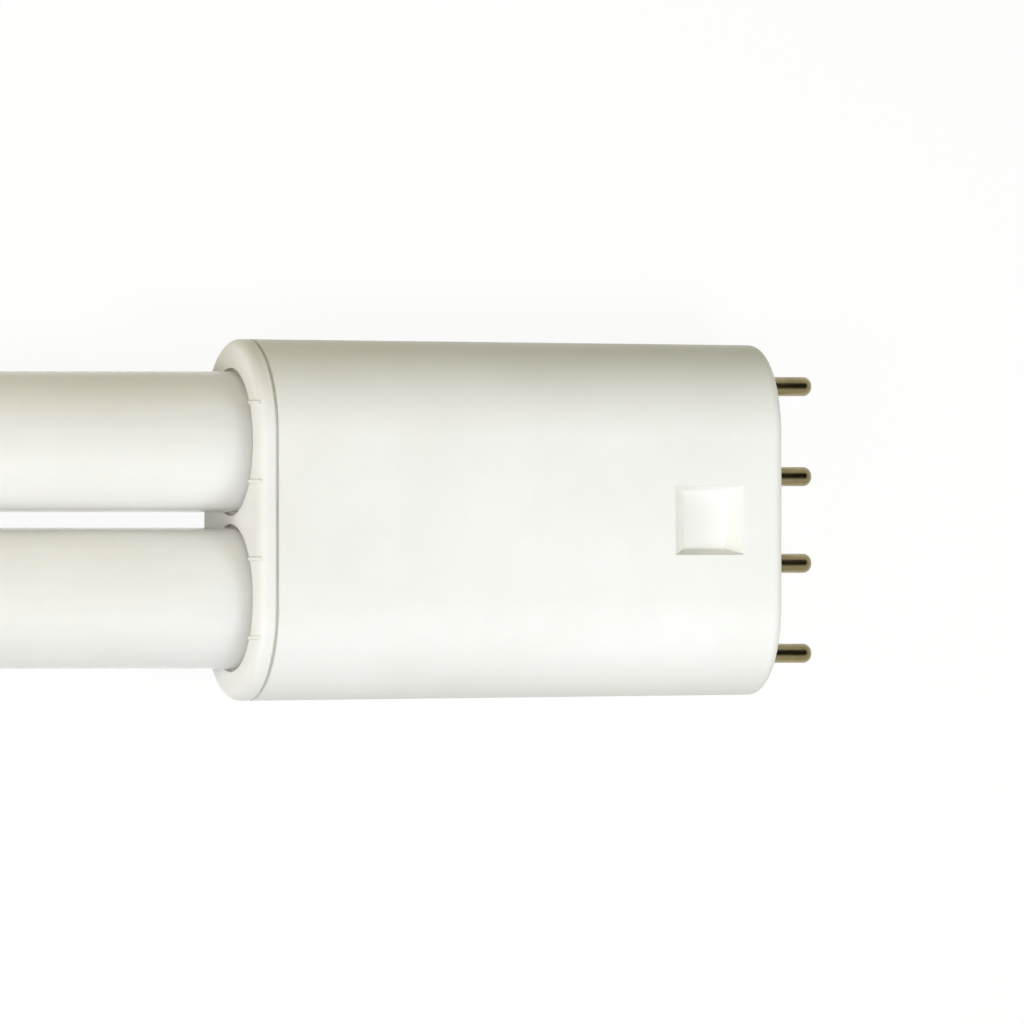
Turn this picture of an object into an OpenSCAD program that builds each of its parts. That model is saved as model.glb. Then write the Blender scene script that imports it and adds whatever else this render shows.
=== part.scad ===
// Twin-tube plug-in lamp with a flat four-pin cap, lying on a wide face of the cap.
// X runs along the lamp towards the pins, Y runs along the row of pins, Z is the thin way.
// The origin is the middle of the cap's end face, which seats against the lampholder.

/* [Glass] */
// Outside diameter of each glass limb
tube_d = 17.2; // [15:0.1:19]
// Gap between the two limbs
limb_gap = 1.85; // [1.3:0.05:4]
// Length of the lamp from the seat face to the tips of the glass
lamp_l = 217; // [180:1:560]
// Radius of the flatter crown at the tip of a limb
crown_r = 11; // [9.7:0.1:14]
// Radius of the rounded shoulder between crown and limb
shoulder_r = 6; // [4:0.1:7]
// Diameter of the neck that joins the limbs, at its thinnest
bridge_d = 7.6; // [6:0.1:8]
// Distance from the tips back to the axis of the neck
bridge_back = 12; // [11.5:0.5:20]
// Radius of the curve in which the neck flares towards the limbs
bridge_flare = 4; // [3.8:0.1:6]
// How deep the flared neck runs into the wall of each limb
bridge_sink = 2.2; // [1.8:0.1:2.4]

/* [Sealed ends of the glass] */
// Length of limb that goes past the end of its socket sleeve
tube_overrun = 5; // [3:0.5:8]
// Radius of the fire-polished rim at the sealed end of a limb
rim_r = 2.4; // [1:0.1:3]
// Diameter of the mouth of the inturned stem
stem_mouth_d = 11; // [9:0.1:12]
// Diameter of the stem where it is pressed flat on the wires
stem_neck_d = 7; // [6:0.1:8]
// Depth of the stem from the rim to the press
stem_depth = 8; // [5:0.5:12]
// Diameter of the sealed-off exhaust tube in the middle of the stem
exhaust_d = 3.2; // [2:0.1:3.6]
// Length of the exhaust tube that stands past the rim
exhaust_out = 3; // [1:0.5:6]

/* [Cap housing] */
// Length of the housing from the seat face to the seam
cap_l = 64.8; // [55:0.1:75]
// Wall of the housing
cap_wall = 1.2; // [0.9:0.1:1.6]
// Thickness of the end wall that carries the pins
end_wall = 2.4; // [1.8:0.1:3.5]
// Draft of the walls on each side, in degrees
draft = 0.6; // [0.3:0.05:1]
// Room that the cap gives on the narrow sides beyond the limbs
side_room = 0.95; // [0.4:0.05:2]
// Radius of the edge round the seat face
cap_edge_r = 1.1; // [0.5:0.1:1.8]

/* [Latch recesses] */
// Length of a recess along the lamp at its rim
latch_l = 8.75; // [7:0.05:10]
// Width of a recess across the lamp at its rim
latch_w = 8.45; // [7:0.05:10]
// Depth of a recess
latch_depth = 2.2; // [1.2:0.05:2.6]
// Distance from the seat face to the rim of a recess
latch_back = 5.1; // [3.5:0.05:6]
// How far the two walls across the lamp lean in from rim to floor
latch_lean_x = 1.7; // [1:0.1:2.4]
// How far the two walls along the lamp lean in from rim to floor
latch_lean_y = 0.6; // [0.4:0.05:1.6]

/* [Collar] */
// How far the collar stands out from the seam
collar_l = 2.6; // [2:0.1:4]
// Radius of the edge round the collar's open face
collar_edge_r = 1.3; // [0.6:0.1:1.6]
// Width of the shadow groove along the seam
groove_w = 0.45; // [0.2:0.05:0.6]
// Depth of the shadow groove along the seam
groove_depth = 0.45; // [0.3:0.05:0.8]
// Clearance round each limb in its socket
socket_gap = 0.4; // [0.3:0.05:0.8]
// Wall of the sleeve round each socket
sleeve_wall = 1.1; // [0.8:0.1:1.4]
// Length of the sleeves past the seam
sleeve_l = 12; // [9:0.5:16]
// Wall of the skirt that slides into the housing
skirt_wall = 1; // [0.8:0.1:1.4]
// Length of the skirt past the seam
skirt_l = 7; // [6:0.5:8.5]
// Clearance between the skirt and the housing
skirt_fit = 0.12; // [0.08:0.01:0.2]

/* [Collar ribs and catches] */
// Width of the small ribs on the collar's face
rib_w = 0.45; // [0.3:0.05:0.8]
// Height of the ribs
rib_h = 0.2; // [0.1:0.05:0.4]
// How far the ribs run on round the collar's edge
rib_run = 0.4; // [0.2:0.05:1]
// Distance of a rib from the axis of its limb
rib_offset = 4.8; // [3:0.1:6]
// Length of a catch across the lamp
catch_l = 5; // [3:0.5:8]
// Width of a catch along the lamp
catch_w = 1.2; // [0.8:0.1:1.6]
// How far a catch stands out of the skirt
catch_h = 0.45; // [0.3:0.05:0.6]
// Distance from the seam to the middle of a catch
catch_back = 3.5; // [2.5:0.1:4.5]
// Clearance round a catch in its notch
catch_fit = 0.1; // [0.05:0.01:0.15]

/* [Cement] */
// How far the cement is set back in its socket from the collar's face
cement_back = 0.6; // [0.3:0.1:6]

/* [Contact pins] */
// Diameter of a contact pin
pin_d = 2.35; // [2.2:0.05:2.45]
// Length of a pin from the seat face to its tip
pin_l = 7.05; // [6:0.05:8]
// Radius of the rounded edge at a pin's tip
pin_tip_r = 1; // [0.3:0.05:1.1]
// Distance between the two pins of one limb
pin_pitch = 11; // [10:0.1:11.5]
// Distance between the two pins either side of the middle
pin_middle = 10.6; // [9:0.1:12]
// Diameter of the root that is pressed into the end wall
pin_root_d = 2.8; // [2.8:0.05:3]
// Diameter of the shoulder that stops a pin inside the housing
pin_shoulder_d = 3.6; // [3.2:0.1:4.2]
// Thickness of that shoulder
pin_shoulder_l = 0.8; // [0.5:0.1:1.2]
// Diameter of the crimped tail of a pin
pin_tail_d = 2; // [1.7:0.05:2.2]
// Length of the tail past the shoulder
pin_tail_l = 4; // [2:0.5:6]
// Wall between the end of the wire's hole and the tip of the pin
pin_tip_wall = 1.6; // [1:0.1:2.5]
// Clearance round a pin in the housing
pin_fit = 0.02; // [0.01:0.01:0.05]
// Diameter of the boss round each pin inside the housing
boss_d = 5.4; // [4.8:0.1:6]
// Length of the bosses past the end wall
boss_l = 3.6; // [2:0.1:5]

/* [Lead wires] */
// Diameter of a lead wire
wire_d = 0.6; // [0.4:0.05:0.8]
// Distance between the two wires of a stem
wire_spread = 4.5; // [4.2:0.1:5.2]
// Clearance round a wire in the pin
wire_fit = 0.1; // [0.05:0.01:0.15]
// Straight length of wire in the stem and out of it, before the bend
wire_start = 16; // [12:0.5:20]

/* [Hidden] */
$fn = 96;
// A cut passes this far beyond the surface it opens
past = 0.5;
tube_r = tube_d / 2;
limb_y = (tube_d + limb_gap) / 2;
socket_r = tube_r + socket_gap;
sleeve_r = socket_r + sleeve_wall;
seam_x = -cap_l;
face_x = seam_x - collar_l;
sleeve_end_x = seam_x + sleeve_l;
tube_end_x = sleeve_end_x + tube_overrun;
slope = tan(draft);
// The sleeves fit in the skirt, the skirt in the housing: that gives the cap its thickness
seam_r = sleeve_r + sleeve_l * slope + skirt_fit + cap_wall;
// The round sides of the cap turn about these two lines
side_y = limb_y + side_room;
end_r = seam_r - cap_l * slope;
pin_y = [-pin_middle / 2 - pin_pitch, -pin_middle / 2, pin_middle / 2, pin_middle / 2 + pin_pitch];
boss_x = -end_wall - boss_l;
pin_tail_x = boss_x - pin_shoulder_l - pin_tail_l;
wire_hole_d = wire_d + 2 * wire_fit;
wire_end_x = pin_l - pin_tip_wall - wire_fit;
stem_x = tube_end_x - stem_depth;
wire_y = [for (side = [-1, 1], lead = [-1, 1]) side * limb_y + lead * wire_spread / 2];

// Half thickness of the housing's outside at a place along the lamp
function outside_r(x) = seam_r - (x - seam_x) * slope;

// Lays a profile's first axis along the lamp's thickness and its second along the lamp
module stand() rotate([-90, -90, 0]) children();

// Solid with flat wide faces and round sides, from half of its profile: first axis out
// from the middle plane, second axis along the lamp
module pill() {
    stand() translate([0, 0, -side_y]) linear_extrude(2 * side_y) {
        children();
        mirror([1, 0]) children();
    }
    for (side = [0, 180])
        rotate([side, 0, 0]) translate([0, side_y, 0])
            rotate([0, 90, 0]) rotate_extrude(angle = 180) children();
}

// Half profile with a straight drafted side from one place along the lamp to another
module drafted(x1, x2, inset) {
    polygon([
        [0, x1], [outside_r(x1) - inset, x1], [outside_r(x2) - inset, x2], [0, x2]
    ]);
}

// Round bar along the lamp
module bar(r, x1, x2, y = 0, z = 0) translate([x1, y, z]) rotate([0, 90, 0]) cylinder(r = r, h = x2 - x1);

module glass_envelope() {
    color("#f1efe8") union() {
        for (side = [-1, 1]) translate([0, side * limb_y, 0]) difference() {
            limb();
            stem_opening();
        }
        for (side = [-1, 1]) exhaust_tube(side * limb_y);
        bridge();
    }
}

// One limb: a straight tube with a rounded shoulder and a flatter crown at the tip,
// and a fire-polished rim at the sealed end
module limb() {
    shoulder_c = tube_r - shoulder_r;
    crown_drop = sqrt(pow(crown_r - shoulder_r, 2) - pow(shoulder_c, 2));
    // Both arcs are struck from these places along the lamp
    crown_x = -lamp_l + crown_r;
    shoulder_x = crown_x - crown_drop;
    // A place well outside the crown, on the line through the middles of both arcs
    outside = [0, crown_x] + 2 * crown_r / (crown_r - shoulder_r) * [shoulder_c, -crown_drop];
    rotate([0, 90, 0]) rotate_extrude() {
        translate([0, shoulder_x]) square([tube_r, tube_end_x - rim_r - shoulder_x]);
        intersection() {
            translate([shoulder_c, shoulder_x]) circle(shoulder_r);
            translate([0, shoulder_x - shoulder_r]) square([tube_r, shoulder_r]);
        }
        intersection() {
            translate([0, crown_x]) circle(crown_r);
            polygon([[0, crown_x], [0, crown_x - 2 * crown_r], outside]);
        }
        translate([0, tube_end_x - rim_r]) square([tube_r - rim_r, rim_r]);
        intersection() {
            translate([tube_r - rim_r, tube_end_x - rim_r]) circle(rim_r);
            translate([tube_r - rim_r, tube_end_x - rim_r]) square(rim_r);
        }
    }
}

// The inturned stem, open towards the pins
module stem_opening() {
    rotate([0, 90, 0]) translate([0, 0, stem_x])
        cylinder(d1 = stem_neck_d, d2 = stem_mouth_d, h = stem_depth);
    bar(stem_mouth_d / 2, tube_end_x, tube_end_x + past);
}

// Exhaust tube with its melted-off tip
module exhaust_tube(y) {
    tip_x = tube_end_x + exhaust_out - exhaust_d / 2;
    bar(exhaust_d / 2, stem_x - past, tip_x, y);
    translate([tip_x, y, 0]) sphere(d = exhaust_d);
}

// Short neck that joins the limbs, flared into both of them
module bridge() {
    half_l = limb_gap / 2 + bridge_sink;
    flare_x = bridge_d / 2 + bridge_flare;
    neck_end_r = flare_x - sqrt(pow(bridge_flare, 2) - pow(half_l, 2));
    translate([-lamp_l + bridge_back, 0, 0]) rotate([90, 0, 0]) rotate_extrude() difference() {
        translate([0, -half_l]) square([neck_end_r, 2 * half_l]);
        translate([flare_x, 0]) circle(bridge_flare);
    }
}

// Moulded shell, open at the seam and closed at the seat face
module base_housing() {
    color("#f4f4ef") difference() {
        union() {
            difference() {
                pill() housing_profile();
                pill() drafted(seam_x - past, -end_wall, cap_wall);
            }
            latch_pockets(cap_wall);
            for (y = pin_y) bar(boss_d / 2, boss_x, -end_wall + past, y);
        }
        latch_pockets(0);
        for (y = pin_y) bar(pin_root_d / 2 + pin_fit, boss_x - past, past, y);
        catches(catch_fit);
    }
}

// Outside of the housing with its rounded edge at the seat face
module housing_profile() {
    // Middle of the rounded edge, and the point where it meets the drafted side
    edge_c = [end_r + cap_edge_r * slope - cap_edge_r / cos(draft), -cap_edge_r];
    side_point = edge_c + cap_edge_r * [cos(draft), sin(draft)];
    polygon([
        [0, seam_x], [seam_r, seam_x], side_point, edge_c, [edge_c[0], 0], [0, 0]
    ]);
    translate(edge_c) circle(cap_edge_r);
}

// Latch recesses in both wide faces, or the moulded pockets behind them
module latch_pockets(wall) {
    for (side = [0, 180]) rotate([side, 0, 0]) latch_pocket(wall);
}

// Four-sided pocket with leaning walls, from its floor to just past the wide face
module latch_pocket(wall) {
    rim_z = outside_r(-latch_back - latch_l / 2);
    floor_z = rim_z - latch_depth - wall;
    mid_x = -latch_back - latch_l / 2;
    lean_x = latch_lean_x / latch_depth;
    lean_y = latch_lean_y / latch_depth;
    rise = wall > 0 ? latch_depth + wall / 2 : latch_depth + past;
    // Half sizes of the floor, and of the section at the full height of the cut
    floor_size = [latch_l / 2 - latch_lean_x + wall, latch_w / 2 - latch_lean_y + wall];
    translate([mid_x, 0, floor_z]) intersection() {
        rotate([90, 0, 0]) linear_extrude(2 * latch_w, center = true)
            wedge(floor_size[0], lean_x, rise);
        rotate([90, 0, 90]) linear_extrude(2 * latch_l, center = true)
            wedge(floor_size[1], lean_y, rise);
    }
}

// Section of a pocket: the floor's half width, how fast it widens, and its height
module wedge(half, lean, rise) {
    polygon([
        [-half, 0], [half, 0], [half + lean * rise, rise], [-half - lean * rise, rise]
    ]);
}

// Catches on the skirt, or the notches that they snap into
module catches(fit) {
    reach = outside_r(seam_x + catch_back) - cap_wall - skirt_fit + catch_h + fit;
    for (side = [0, 180]) rotate([side, 0, 0])
        translate([seam_x + catch_back - catch_w / 2 - fit, -catch_l / 2 - fit, 0])
            translate([0, 0, reach - catch_h - fit - skirt_wall / 2])
                cube([catch_w + 2 * fit, catch_l + 2 * fit, catch_h + fit + skirt_wall / 2]);
}

// Moulded plate with two sockets, a skirt that slides into the housing and four small ribs
module tube_collar() {
    color("#f4f4ef") difference() {
        union() {
            pill() plate_profile();
            difference() {
                pill() drafted(seam_x - past, seam_x + skirt_l, cap_wall + skirt_fit);
                pill() drafted(seam_x, seam_x + skirt_l + past, cap_wall + skirt_fit + skirt_wall);
            }
            for (side = [-1, 1]) bar(sleeve_r, seam_x - past, sleeve_end_x, side * limb_y);
            catches(0);
            face_ribs();
        }
        for (side = [-1, 1]) bar(socket_r, face_x - collar_l, sleeve_end_x + past, side * limb_y);
    }
}

// Half profile of the collar's plate, with a rounded edge and the groove along the seam
module plate_profile() {
    edge_c = [seam_r - collar_edge_r, face_x + collar_edge_r];
    land_r = seam_r - groove_depth;
    polygon([
        [0, seam_x], [land_r, seam_x], [land_r, seam_x - groove_w], [seam_r, seam_x - groove_w],
        [seam_r, edge_c[1]], edge_c, [edge_c[0], face_x], [0, face_x]
    ]);
    intersection() {
        translate(edge_c) circle(collar_edge_r);
        translate(edge_c - [0, collar_edge_r]) square(collar_edge_r);
    }
}

// Small ribs that run out from the sockets and end on the rounded edge of the collar
module face_ribs() {
    intersection() {
        translate([-rib_h, 0, 0]) pill() plate_profile();
        for (side = [-1, 1], rib = [-1, 1], up = [0, 1]) mirror([0, 0, up])
            translate([face_x - past, side * limb_y + rib * rib_offset - rib_w / 2, tube_r / 2])
                cube([past + rib_run, rib_w, seam_r]);
    }
}

// Ring of capping cement between a limb and its sleeve
module socket_cement(side) {
    color("#d9d4c8") difference() {
        bar(socket_r, face_x + cement_back, sleeve_end_x, side * limb_y);
        bar(tube_r, face_x + cement_back - past, sleeve_end_x + past, side * limb_y);
    }
}

// Hollow plated pin with a rounded tip, a shoulder against its boss and a crimped tail
module contact_pin(y) {
    // Middle of the rounded tip
    tip_c = [pin_d / 2 - pin_tip_r, pin_l - pin_tip_r];
    color("#a39a72") translate([0, y, 0]) difference() {
        rotate([0, 90, 0]) rotate_extrude() {
            square([pin_d / 2, tip_c[1]]);
            square([tip_c[0], pin_l]);
            translate([0, boss_x]) square([pin_root_d / 2, -boss_x]);
            intersection() {
                translate(tip_c) circle(pin_tip_r);
                translate(tip_c) square(pin_tip_r);
            }
            translate([0, boss_x - pin_shoulder_l]) square([pin_shoulder_d / 2, pin_shoulder_l]);
            translate([0, pin_tail_x]) square([pin_tail_d / 2, pin_tail_l]);
        }
        bar(wire_hole_d / 2, pin_tail_x - past, pin_l - pin_tip_wall);
    }
}

// Lead wire from the press of the stem to the inside of its pin. Two quarter turns bring it
// from one line to the other.
module lead_wire(y1, y2) {
    bend_r = abs(y2 - y1) / 2;
    bend_x = stem_x + wire_start;
    toward = y2 > y1 ? 0 : 180;
    color("#b9b6ad") {
        bar(wire_d / 2, stem_x, bend_x, y1);
        translate([bend_x, y1, 0]) rotate([toward, 0, 0]) {
            quarter_turn(bend_r);
            translate([2 * bend_r, 2 * bend_r, 0]) rotate([0, 0, 180]) quarter_turn(bend_r);
        }
        bar(wire_d / 2, bend_x + 2 * bend_r, wire_end_x, y2);
    }
}

// Quarter turn of wire that starts at the origin along X and turns to Y
module quarter_turn(bend_r) {
    translate([0, bend_r, 0]) rotate([0, 0, -90])
        rotate_extrude(angle = 90) translate([bend_r, 0]) circle(d = wire_d);
}

glass_envelope();
base_housing();
tube_collar();
for (i = [0:1])
    socket_cement([-1, 1][i]);
for (i = [0:3])
    contact_pin(pin_y[i]);
for (i = [0:3])
    lead_wire(wire_y[i], pin_y[i]);
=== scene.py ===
"""Looks of a twin-tube plug-in lamp with a flat four-pin cap, built round its CAD model."""

import math

import bpy
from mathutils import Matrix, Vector


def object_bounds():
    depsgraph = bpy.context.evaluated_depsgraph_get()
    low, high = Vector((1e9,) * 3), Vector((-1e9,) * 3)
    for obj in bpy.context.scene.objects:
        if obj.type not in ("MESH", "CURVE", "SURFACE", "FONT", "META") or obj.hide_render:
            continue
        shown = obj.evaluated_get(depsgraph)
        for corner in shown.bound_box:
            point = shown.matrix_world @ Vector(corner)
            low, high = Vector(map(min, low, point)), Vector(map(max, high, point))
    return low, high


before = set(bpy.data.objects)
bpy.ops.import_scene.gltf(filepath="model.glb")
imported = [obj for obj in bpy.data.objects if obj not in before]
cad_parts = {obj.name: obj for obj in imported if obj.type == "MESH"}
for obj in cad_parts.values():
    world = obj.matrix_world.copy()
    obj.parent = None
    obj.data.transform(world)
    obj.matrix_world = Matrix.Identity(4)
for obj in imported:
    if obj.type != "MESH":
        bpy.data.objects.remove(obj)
cad_low, cad_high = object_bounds()


# Camera
# The photograph looks down on a wide face of the cap, turned 18 degrees towards the tubes.
# It is taken from so far away that nothing in it tapers, so the lens is very long.
MM = 0.001
CAMERA_TURN = math.radians(-18)
CAMERA_DISTANCE = 6
PICTURE_WIDTH = 124.95 * MM
PICTURE_MIDDLE = Vector((-31.33, 0.97, 0)) * MM

bpy.ops.object.select_all(action="DESELECT")
towards_camera = Vector((math.sin(CAMERA_TURN), 0, math.cos(CAMERA_TURN)))
bpy.ops.object.camera_add(
    location=PICTURE_MIDDLE + CAMERA_DISTANCE * towards_camera,
    rotation=(0, CAMERA_TURN, 0),
)
camera = bpy.context.object
camera.name = "camera"
camera.data.lens = camera.data.sensor_width * CAMERA_DISTANCE / PICTURE_WIDTH
bpy.context.scene.camera = camera
bpy.context.scene.view_settings.view_transform = "Standard"


# Floor
# A wide sheet of matt white board that the lamp lies on. It is seen as plain white, like the
# background of the photograph, and it keeps a faint shadow where the lamp rests on it.
FLOOR_SIZE = 6
SEEN_WHITE = 1.06
SEEN_SHARE = 0.88


def colour(code):
    """Turns a #rrggbb colour into the linear colour that Blender's sockets take."""
    values = [int(code[i:i + 2], 16) / 255 for i in (1, 3, 5)]
    return [v / 12.92 if v <= 0.04045 else ((v + 0.055) / 1.055) ** 2.4 for v in values] + [1]


def add(tree, kind, inputs=None, stops=(), **settings):
    """Adds a node. An input is given a value, or linked if it is another node's socket. Each
    stop of a colour ramp is given as its place on the ramp and its colour."""
    node = tree.nodes.new(kind)
    for name, value in settings.items():
        setattr(node, name, value)
    for name, value in (inputs or {}).items():
        if isinstance(value, bpy.types.NodeSocket):
            tree.links.new(value, node.inputs[name])
        else:
            node.inputs[name].default_value = value
    for number, (position, code) in enumerate(stops):
        node.color_ramp.elements[number].position = position
        node.color_ramp.elements[number].color = colour(code)
    return node


bpy.ops.object.select_all(action="DESELECT")
bpy.ops.mesh.primitive_plane_add(size=FLOOR_SIZE, location=(0, 0, cad_low.z))
floor = bpy.context.object
floor.name = "floor"

board = bpy.data.materials.new("matt_white_board")
board.use_nodes = True
tree = board.node_tree
paint = tree.nodes["Principled BSDF"]
paint.inputs["Base Color"].default_value = colour("#d8d6cf")
paint.inputs["Roughness"].default_value = 0.9
ray = add(tree, "ShaderNodeLightPath")
seen = add(tree, "ShaderNodeMath", {
    0: ray.outputs["Is Camera Ray"], 1: ray.outputs["Is Glossy Ray"]}, operation="MAXIMUM")
seen = add(tree, "ShaderNodeMath", {
    0: seen.outputs[0], 1: ray.outputs["Is Transmission Ray"]}, operation="MAXIMUM")
share = add(tree, "ShaderNodeMath", {0: seen.outputs[0], 1: SEEN_SHARE}, operation="MULTIPLY")
white = add(tree, "ShaderNodeEmission", {"Color": colour("#ffffff"), "Strength": SEEN_WHITE})
mixed = add(tree, "ShaderNodeMixShader", {0: share.outputs[0], 1: paint.outputs[0], 2: white.outputs[0]})
tree.links.new(mixed.outputs[0], tree.nodes["Material Output"].inputs["Surface"])
floor.data.materials.append(board)


# Light
# One soft box hangs close over the pin end of the cap and a large one stands past the tubes. A
# weak one lights their far side, and a small warm one shines along the gap between them. The rest
# is the light of the room. Metal and glass mirror only the room: bright horizon, dark ceiling.
BOXES = {
    "overhead_box": {"place": (20, -40, 150), "size": 60, "power": 0.17, "colour": "#edf2ff"},
    "tube_end_box": {"place": (-200, -80, 140), "size": 200, "power": 0.275, "colour": "#e2e7ff"},
    "far_side_box": {"place": (-140, 60, 70), "size": 60, "power": 0.014, "colour": "#fff5f0"},
    "gap_box": {"place": (-260, 0, 120), "size": 36, "power": 0.09, "colour": "#fff4dd"},
}
LIT_POINT = Vector((-30, 0, 0)) * MM
ROOM_LIGHT = "#807d5b"
CEILING = Vector((0, 0.16, 1))
HORIZON_TO_CEILING = ((0.7, "#dcd8cb"), (0.86, "#0c0a06"))

for name, box in BOXES.items():
    bpy.ops.object.select_all(action="DESELECT")
    place = Vector(box["place"]) * MM
    turn = (place - LIT_POINT).to_track_quat("Z", "Y").to_euler()
    bpy.ops.object.light_add(type="AREA", location=place, rotation=turn)
    soft_box = bpy.context.object
    soft_box.name = name
    soft_box.data.size = box["size"] * MM
    soft_box.data.energy = box["power"]
    soft_box.data.color = colour(box["colour"])[:3]
    soft_box.visible_glossy = False
    soft_box.visible_camera = False

room = bpy.data.worlds.new("room")
bpy.context.scene.world = room
room.use_nodes = True
tree = room.node_tree
tree.nodes.clear()
ray = add(tree, "ShaderNodeLightPath")
direction = add(tree, "ShaderNodeTexCoord")
height = add(tree, "ShaderNodeVectorMath", {
    0: direction.outputs["Generated"], 1: CEILING}, operation="DOT_PRODUCT")
mirrored = add(tree, "ShaderNodeValToRGB", {0: height.outputs["Value"]}, HORIZON_TO_CEILING)
ambient = add(tree, "ShaderNodeMix", {
    "Factor": ray.outputs["Is Glossy Ray"], "A": colour(ROOM_LIGHT), "B": mirrored.outputs["Color"]},
    data_type="RGBA")
shown = add(tree, "ShaderNodeMath", {
    0: ray.outputs["Is Camera Ray"], 1: ray.outputs["Is Transmission Ray"]}, operation="MAXIMUM")
sky = add(tree, "ShaderNodeMix", {
    "Factor": shown.outputs[0], "A": ambient.outputs["Result"], "B": colour("#ffffff")},
    data_type="RGBA")
background = add(tree, "ShaderNodeBackground", {"Color": sky.outputs["Result"], "Strength": 1})
add(tree, "ShaderNodeOutputWorld", {"Surface": background.outputs[0]})


# Glass limbs
# Two tubes of soda-lime glass, joined by a neck near their tips. They are coated inside with a
# white powder, so the glass is a clear gloss over a soft warm white that varies along the tube.
COATING_TONES = ((0.35, "#f0efe9"), (0.65, "#f4f3ed"))
COATING_PATCH = 9 * MM
COATING_STREAK = 1.4 * MM
STREAK_STRETCH = (0.08, 1, 1)
GLOW_DEPTH = 8 * MM
RIPPLE_HEIGHT = 0.2 * MM


def begin(name):
    """Starts a material. Gives it with its tree, its shader and the point that is shaded."""
    material = bpy.data.materials.new(name)
    material.use_nodes = True
    tree = material.node_tree
    point = add(tree, "ShaderNodeTexCoord").outputs["Object"]
    return material, tree, tree.nodes["Principled BSDF"], point


def dress(material, *names):
    """Gives CAD nodes this material in place of their own."""
    for name in names:
        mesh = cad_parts[name].data
        mesh.materials.clear()
        mesh.materials.append(material)


opal, tree, shader, point = begin("coated_soda_lime_glass")
patches = add(tree, "ShaderNodeTexNoise", {
    "Vector": point, "Scale": 1 / COATING_PATCH, "Detail": 3, "Roughness": 0.55})
stretched = add(tree, "ShaderNodeMapping", {"Vector": point, "Scale": STREAK_STRETCH})
streaks = add(tree, "ShaderNodeTexNoise", {
    "Vector": stretched.outputs[0], "Scale": 1 / COATING_STREAK, "Detail": 2, "Roughness": 0.5})
uneven = add(tree, "ShaderNodeMix", {
    "Factor": 0.35, "A": patches.outputs["Fac"], "B": streaks.outputs["Fac"]}, data_type="FLOAT")
coating = add(tree, "ShaderNodeValToRGB", {0: uneven.outputs["Result"]}, COATING_TONES)
tree.links.new(coating.outputs["Color"], shader.inputs["Base Color"])
shader.inputs["Subsurface Weight"].default_value = 1
shader.inputs["Subsurface Radius"].default_value = (1, 0.95, 0.85)
shader.inputs["Subsurface Scale"].default_value = GLOW_DEPTH
shader.inputs["Roughness"].default_value = 0.55
shader.inputs["Specular IOR Level"].default_value = 0.2
shader.inputs["Coat Weight"].default_value = 1
shader.inputs["Coat Roughness"].default_value = 0.08
shader.inputs["Coat IOR"].default_value = 1.5
ripple = add(tree, "ShaderNodeBump", {
    "Height": patches.outputs["Fac"], "Strength": 0.08, "Distance": RIPPLE_HEIGHT})
tree.links.new(ripple.outputs["Normal"], shader.inputs["Coat Normal"])

dress(opal, "glass_envelope")


# Cap
# The housing and the collar are moulded from white glass-filled polyester in an eroded steel
# mould, which gives a satin skin with a fine grain. Every moulded edge is slightly rounded, and
# the skin has sunk a little over the catch in the middle of each wide face.
CAP_TONES = ((0.3, "#f3f2eb"), (0.7, "#f9f8f2"))
CLOUD = 14 * MM
GRAIN = 0.35 * MM
GRAIN_HEIGHT = 0.03 * MM
SATIN = {"From Min": 0.3, "From Max": 0.7, "To Min": 0.36, "To Max": 0.46}
EDGE_ROUNDING = 0.22 * MM
SINK_X = -61.4 * MM
SINK_HALF_WIDTH = 0.5 * MM
SINK_HALF_LENGTH = 2.6 * MM
SINK_DEPTH = 0.03 * MM

polyester, tree, shader, point = begin("moulded_white_polyester")
clouds = add(tree, "ShaderNodeTexNoise", {
    "Vector": point, "Scale": 1 / CLOUD, "Detail": 4, "Roughness": 0.6})
tint = add(tree, "ShaderNodeValToRGB", {0: clouds.outputs["Fac"]}, CAP_TONES)
tree.links.new(tint.outputs["Color"], shader.inputs["Base Color"])
skin = add(tree, "ShaderNodeTexNoise", {
    "Vector": point, "Scale": 1 / GRAIN, "Detail": 2, "Roughness": 0.6})
satin = add(tree, "ShaderNodeMapRange", {"Value": skin.outputs["Fac"], **SATIN})
tree.links.new(satin.outputs["Result"], shader.inputs["Roughness"])
shader.inputs["IOR"].default_value = 1.52
shader.inputs["Subsurface Weight"].default_value = 0.08
shader.inputs["Subsurface Radius"].default_value = (1, 0.9, 0.7)
shader.inputs["Subsurface Scale"].default_value = 0.6 * MM
soft_edges = add(tree, "ShaderNodeBevel", {"Radius": EDGE_ROUNDING}, samples=6)
spot = add(tree, "ShaderNodeSeparateXYZ", {0: point})
across = add(tree, "ShaderNodeMath", {
    0: spot.outputs["X"], 1: SINK_X, 2: SINK_HALF_WIDTH}, operation="COMPARE")
along = add(tree, "ShaderNodeMath", {
    0: spot.outputs["Y"], 1: 0, 2: SINK_HALF_LENGTH}, operation="COMPARE")
sink = add(tree, "ShaderNodeMath", {0: across.outputs[0], 1: along.outputs[0]}, operation="MULTIPLY")
sunk = add(tree, "ShaderNodeBump", {
    "Height": sink.outputs[0], "Normal": soft_edges.outputs["Normal"],
    "Strength": 0.5, "Distance": SINK_DEPTH}, invert=True)
grain = add(tree, "ShaderNodeBump", {
    "Height": skin.outputs["Fac"], "Normal": sunk.outputs["Normal"],
    "Strength": 0.12, "Distance": GRAIN_HEIGHT})
tree.links.new(grain.outputs["Normal"], shader.inputs["Normal"])

dress(polyester, "base_housing", "tube_collar")


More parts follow.
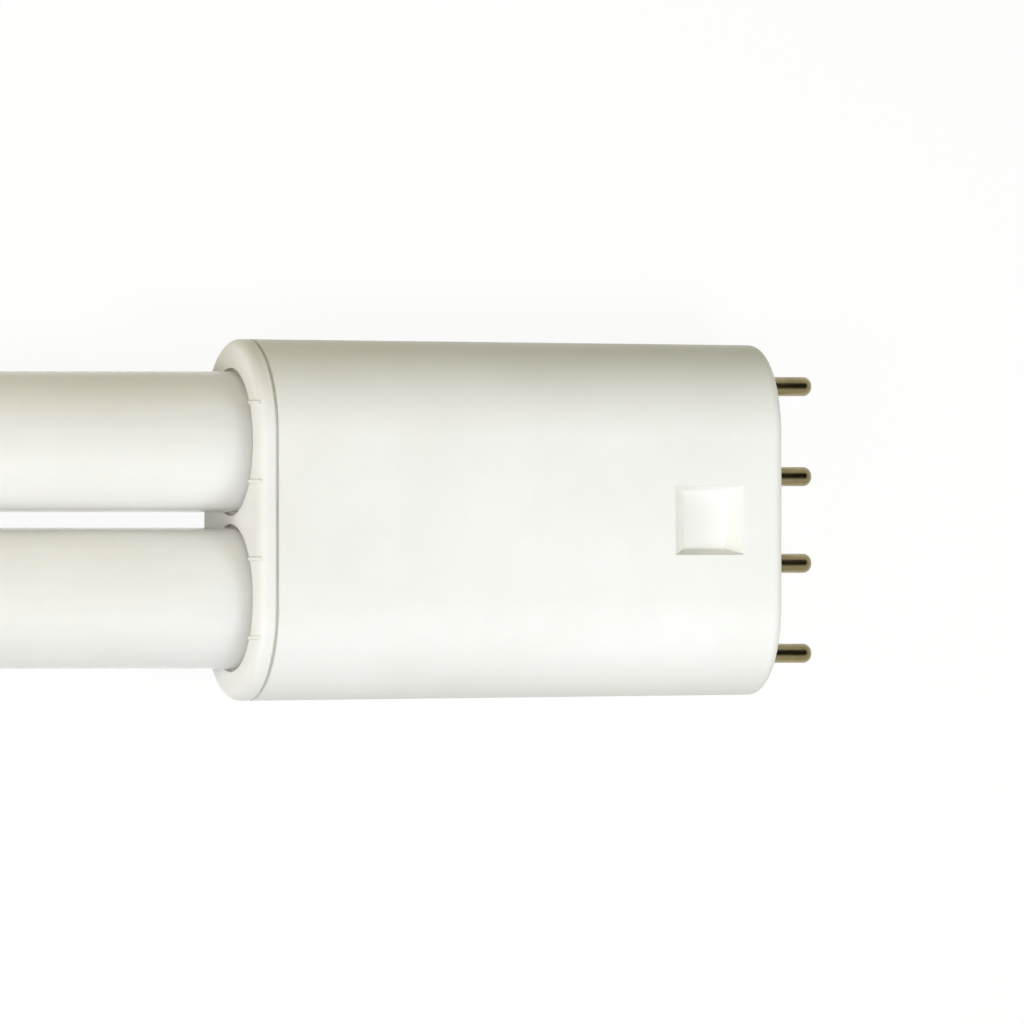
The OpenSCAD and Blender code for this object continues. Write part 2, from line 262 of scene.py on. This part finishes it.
# Capping cement
# A ring of baked mineral cement holds each limb in its socket. It is dull, off-white and
# grainy, with small pores where gas came out of it.
CEMENT_TONES = ((0.35, "#d3cec2"), (0.65, "#e9e6dd"))
CEMENT_GRAIN = 0.3 * MM
CEMENT_PORE = 0.7 * MM
CRUST_HEIGHT = 0.12 * MM

cement, tree, shader, point = begin("baked_capping_cement")
sand = add(tree, "ShaderNodeTexNoise", {
    "Vector": point, "Scale": 1 / CEMENT_GRAIN, "Detail": 3, "Roughness": 0.7})
pores = add(tree, "ShaderNodeTexVoronoi", {"Vector": point, "Scale": 1 / CEMENT_PORE})
tint = add(tree, "ShaderNodeValToRGB", {0: sand.outputs["Fac"]}, CEMENT_TONES)
tree.links.new(tint.outputs["Color"], shader.inputs["Base Color"])
shader.inputs["Roughness"].default_value = 0.9
rough = add(tree, "ShaderNodeMath", {
    0: sand.outputs["Fac"], 1: pores.outputs["Distance"]}, operation="ADD")
crust = add(tree, "ShaderNodeBump", {
    "Height": rough.outputs[0], "Strength": 0.6, "Distance": CRUST_HEIGHT})
tree.links.new(crust.outputs["Normal"], shader.inputs["Normal"])

dress(cement, "socket_cement_1", "socket_cement_2")


# Contact pins
# Hollow brass pins, turned and nickel plated. The plating has gone warm and slightly dull, with
# fine lines along the pin where it slides into a lampholder.
PIN_TONES = ((0.35, "#988d6c"), (0.65, "#a89e7e"))
PIN_TARNISH = 1.6 * MM
PIN_LINE = 0.12 * MM
PIN_LINE_STRETCH = (0.06, 1, 1)
PIN_LINE_DEPTH = 0.02 * MM
PIN_WEAR = {"From Min": 0.3, "From Max": 0.7, "To Min": 0.2, "To Max": 0.32}

plating, tree, shader, point = begin("nickel_plated_brass")
stretched = add(tree, "ShaderNodeMapping", {"Vector": point, "Scale": PIN_LINE_STRETCH})
lines = add(tree, "ShaderNodeTexNoise", {
    "Vector": stretched.outputs[0], "Scale": 1 / PIN_LINE, "Detail": 2, "Roughness": 0.6})
tarnish = add(tree, "ShaderNodeTexNoise", {
    "Vector": point, "Scale": 1 / PIN_TARNISH, "Detail": 4, "Roughness": 0.6})
tint = add(tree, "ShaderNodeValToRGB", {0: tarnish.outputs["Fac"]}, PIN_TONES)
tree.links.new(tint.outputs["Color"], shader.inputs["Base Color"])
shader.inputs["Metallic"].default_value = 1
worn = add(tree, "ShaderNodeMapRange", {"Value": lines.outputs["Fac"], **PIN_WEAR})
tree.links.new(worn.outputs["Result"], shader.inputs["Roughness"])
scratches = add(tree, "ShaderNodeBump", {
    "Height": lines.outputs["Fac"], "Strength": 0.1, "Distance": PIN_LINE_DEPTH})
tree.links.new(scratches.outputs["Normal"], shader.inputs["Normal"])

dress(plating, "contact_pin_1", "contact_pin_2", "contact_pin_3", "contact_pin_4")


# Lead wires
# Drawn nickel wire from the press of each stem to the two pins of its limb. Drawing leaves it
# bright, and sealing the glass leaves a faint brown bloom on it.
WIRE_TONES = ((0.35, "#a89f90"), (0.65, "#c2bfb6"))
WIRE_BLOOM = 3 * MM

nickel, tree, shader, point = begin("drawn_nickel_wire")
bloom = add(tree, "ShaderNodeTexNoise", {
    "Vector": point, "Scale": 1 / WIRE_BLOOM, "Detail": 2, "Roughness": 0.5})
tint = add(tree, "ShaderNodeValToRGB", {0: bloom.outputs["Fac"]}, WIRE_TONES)
tree.links.new(tint.outputs["Color"], shader.inputs["Base Color"])
shader.inputs["Metallic"].default_value = 1
shader.inputs["Roughness"].default_value = 0.3

dress(nickel, "lead_wire_1", "lead_wire_2", "lead_wire_3", "lead_wire_4")
